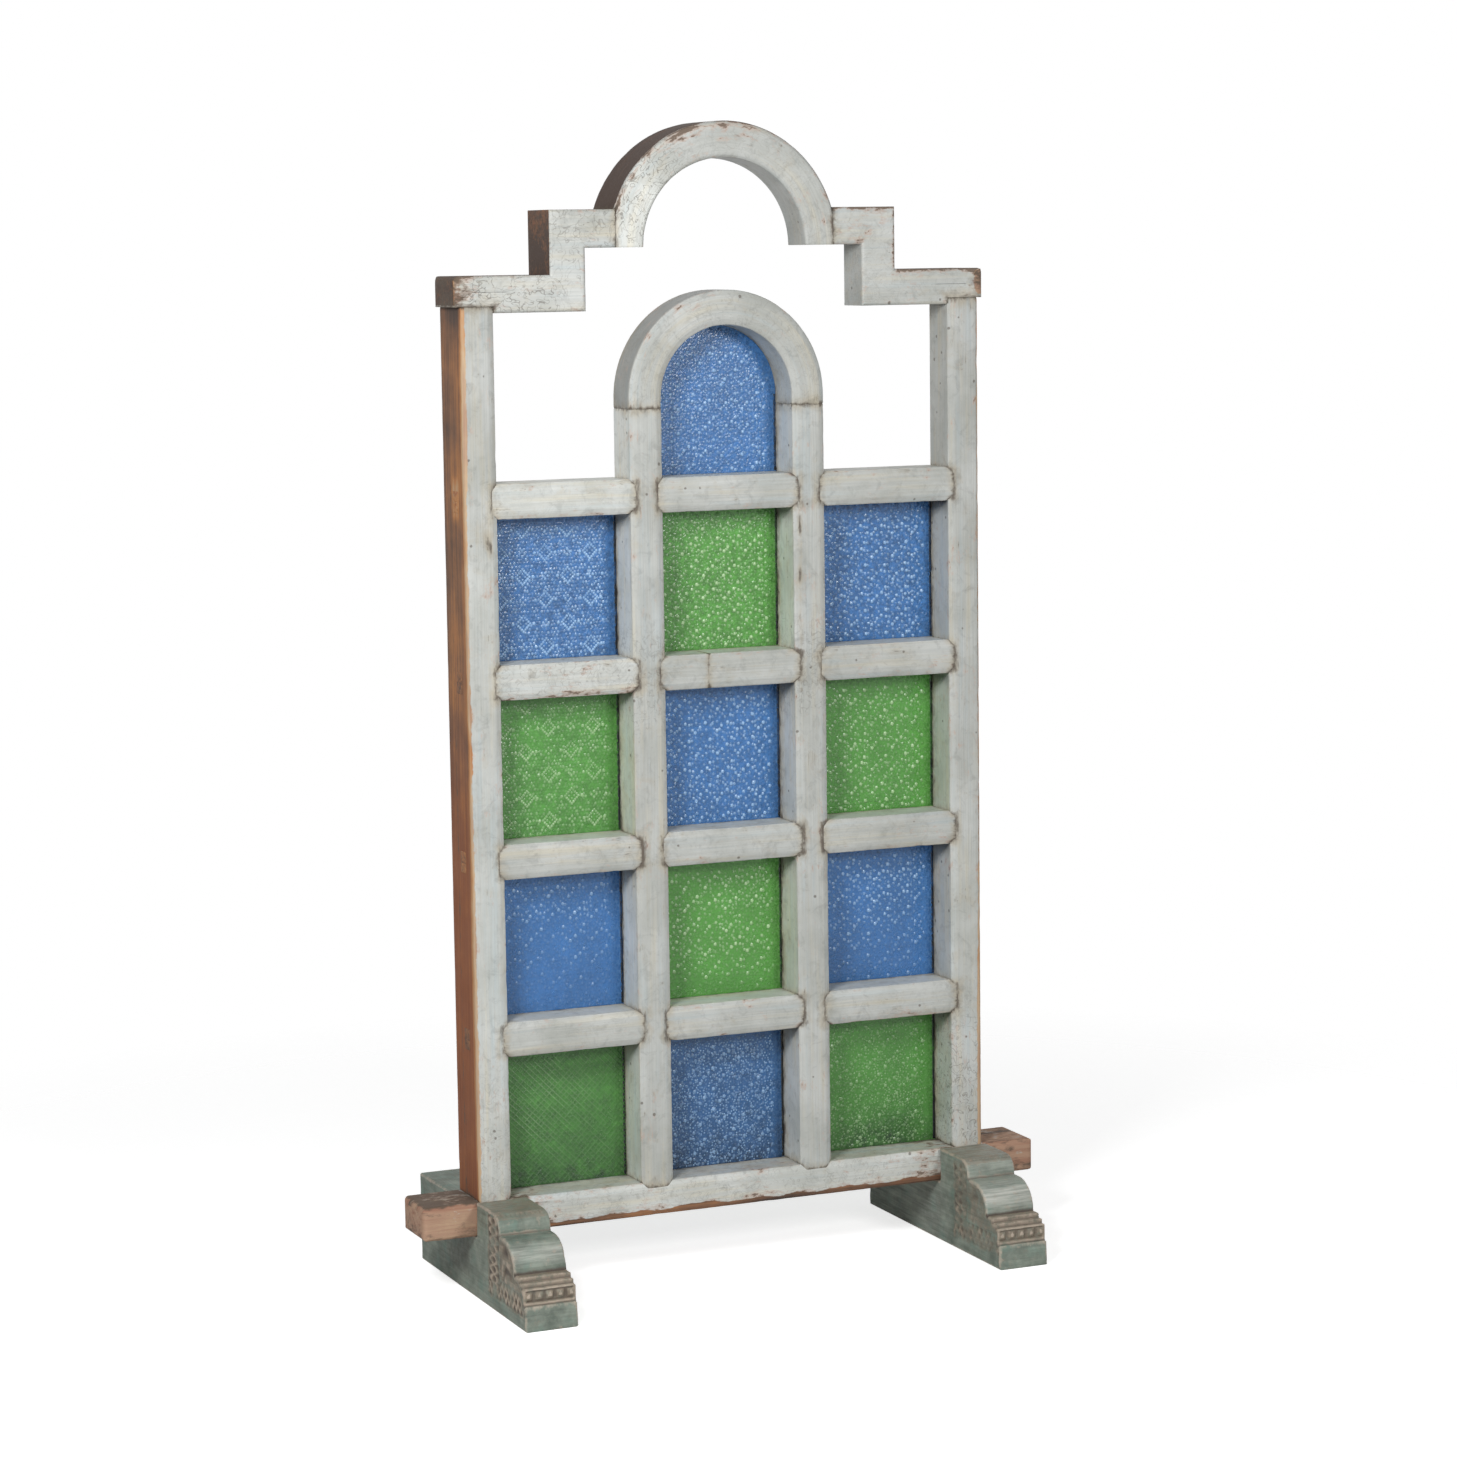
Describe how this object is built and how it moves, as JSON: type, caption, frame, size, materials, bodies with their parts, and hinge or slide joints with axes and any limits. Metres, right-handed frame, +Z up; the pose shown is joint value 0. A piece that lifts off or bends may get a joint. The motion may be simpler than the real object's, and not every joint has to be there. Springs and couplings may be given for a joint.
{
  "type": "glazed room screen",
  "caption": "Free-standing screen: a painted wooden window frame with blue and green pressed glass, an arched pane, a stepped arched head, and notched carved feet.",
  "frame": {"origin": "on the floor, under the middle of the two feet", "axes": "+Z up, +X along the frame to the right seen from its painted face, painted face towards -Y"},
  "size_m": [1.092, 0.494, 1.864],
  "materials": {
    "painted_timber": "old grey-white oil paint on teak, chipped, with bare brown outer sides",
    "carved_wood": "carved hardwood with rubbed grey-green paint",
    "blue_glass": "pressed figured glass, blue",
    "green_glass": "pressed figured glass, green",
    "bead_wood": "painted softwood strip",
    "wedge_wood": "bare hardwood, end grain"
  },
  "bodies": {
    "feet": {"left_foot": "carved_wood", "right_foot": "carved_wood"},
    "frame": {"sill": "painted_timber", "left_stile": "painted_timber", "right_stile": "painted_timber", "left_mullion": "painted_timber", "right_mullion": "painted_timber", "centre_arch": "painted_timber", "left_head_step": "painted_timber", "right_head_step": "painted_timber", "crown_arch": "painted_timber", "rail_a_left": "painted_timber", "rail_a_centre": "painted_timber", "rail_a_right": "painted_timber", "rail_b_left": "painted_timber", "rail_b_centre": "painted_timber", "rail_b_right": "painted_timber", "rail_c_left": "painted_timber", "rail_c_centre": "painted_timber", "rail_c_right": "painted_timber", "rail_d_left": "painted_timber", "rail_d_centre": "painted_timber", "rail_d_right": "painted_timber", "pane_1_left": "blue_glass", "pane_1_centre": "green_glass", "pane_1_right": "blue_glass", "pane_2_left": "green_glass", "pane_2_centre": "blue_glass", "pane_2_right": "green_glass", "pane_3_left": "blue_glass", "pane_3_centre": "green_glass", "pane_3_right": "blue_glass", "pane_4_left": "green_glass", "pane_4_centre": "blue_glass", "pane_4_right": "green_glass", "pane_arch": "blue_glass", "beads_1_left": "bead_wood", "beads_1_centre": "bead_wood", "beads_1_right": "bead_wood", "beads_2_left": "bead_wood", "beads_2_centre": "bead_wood", "beads_2_right": "bead_wood", "beads_3_left": "bead_wood", "beads_3_centre": "bead_wood", "beads_3_right": "bead_wood", "beads_4_left": "bead_wood", "beads_4_centre": "bead_wood", "beads_4_right": "bead_wood", "beads_arch": "bead_wood", "tenon_wedges": "wedge_wood"}
  },
  "joints": [
    {"name": "frame_lift", "type": "slide", "parent": "feet", "child": "frame", "axis": [0, 0, 1], "range_m": [0, 0.08]}
  ]
}
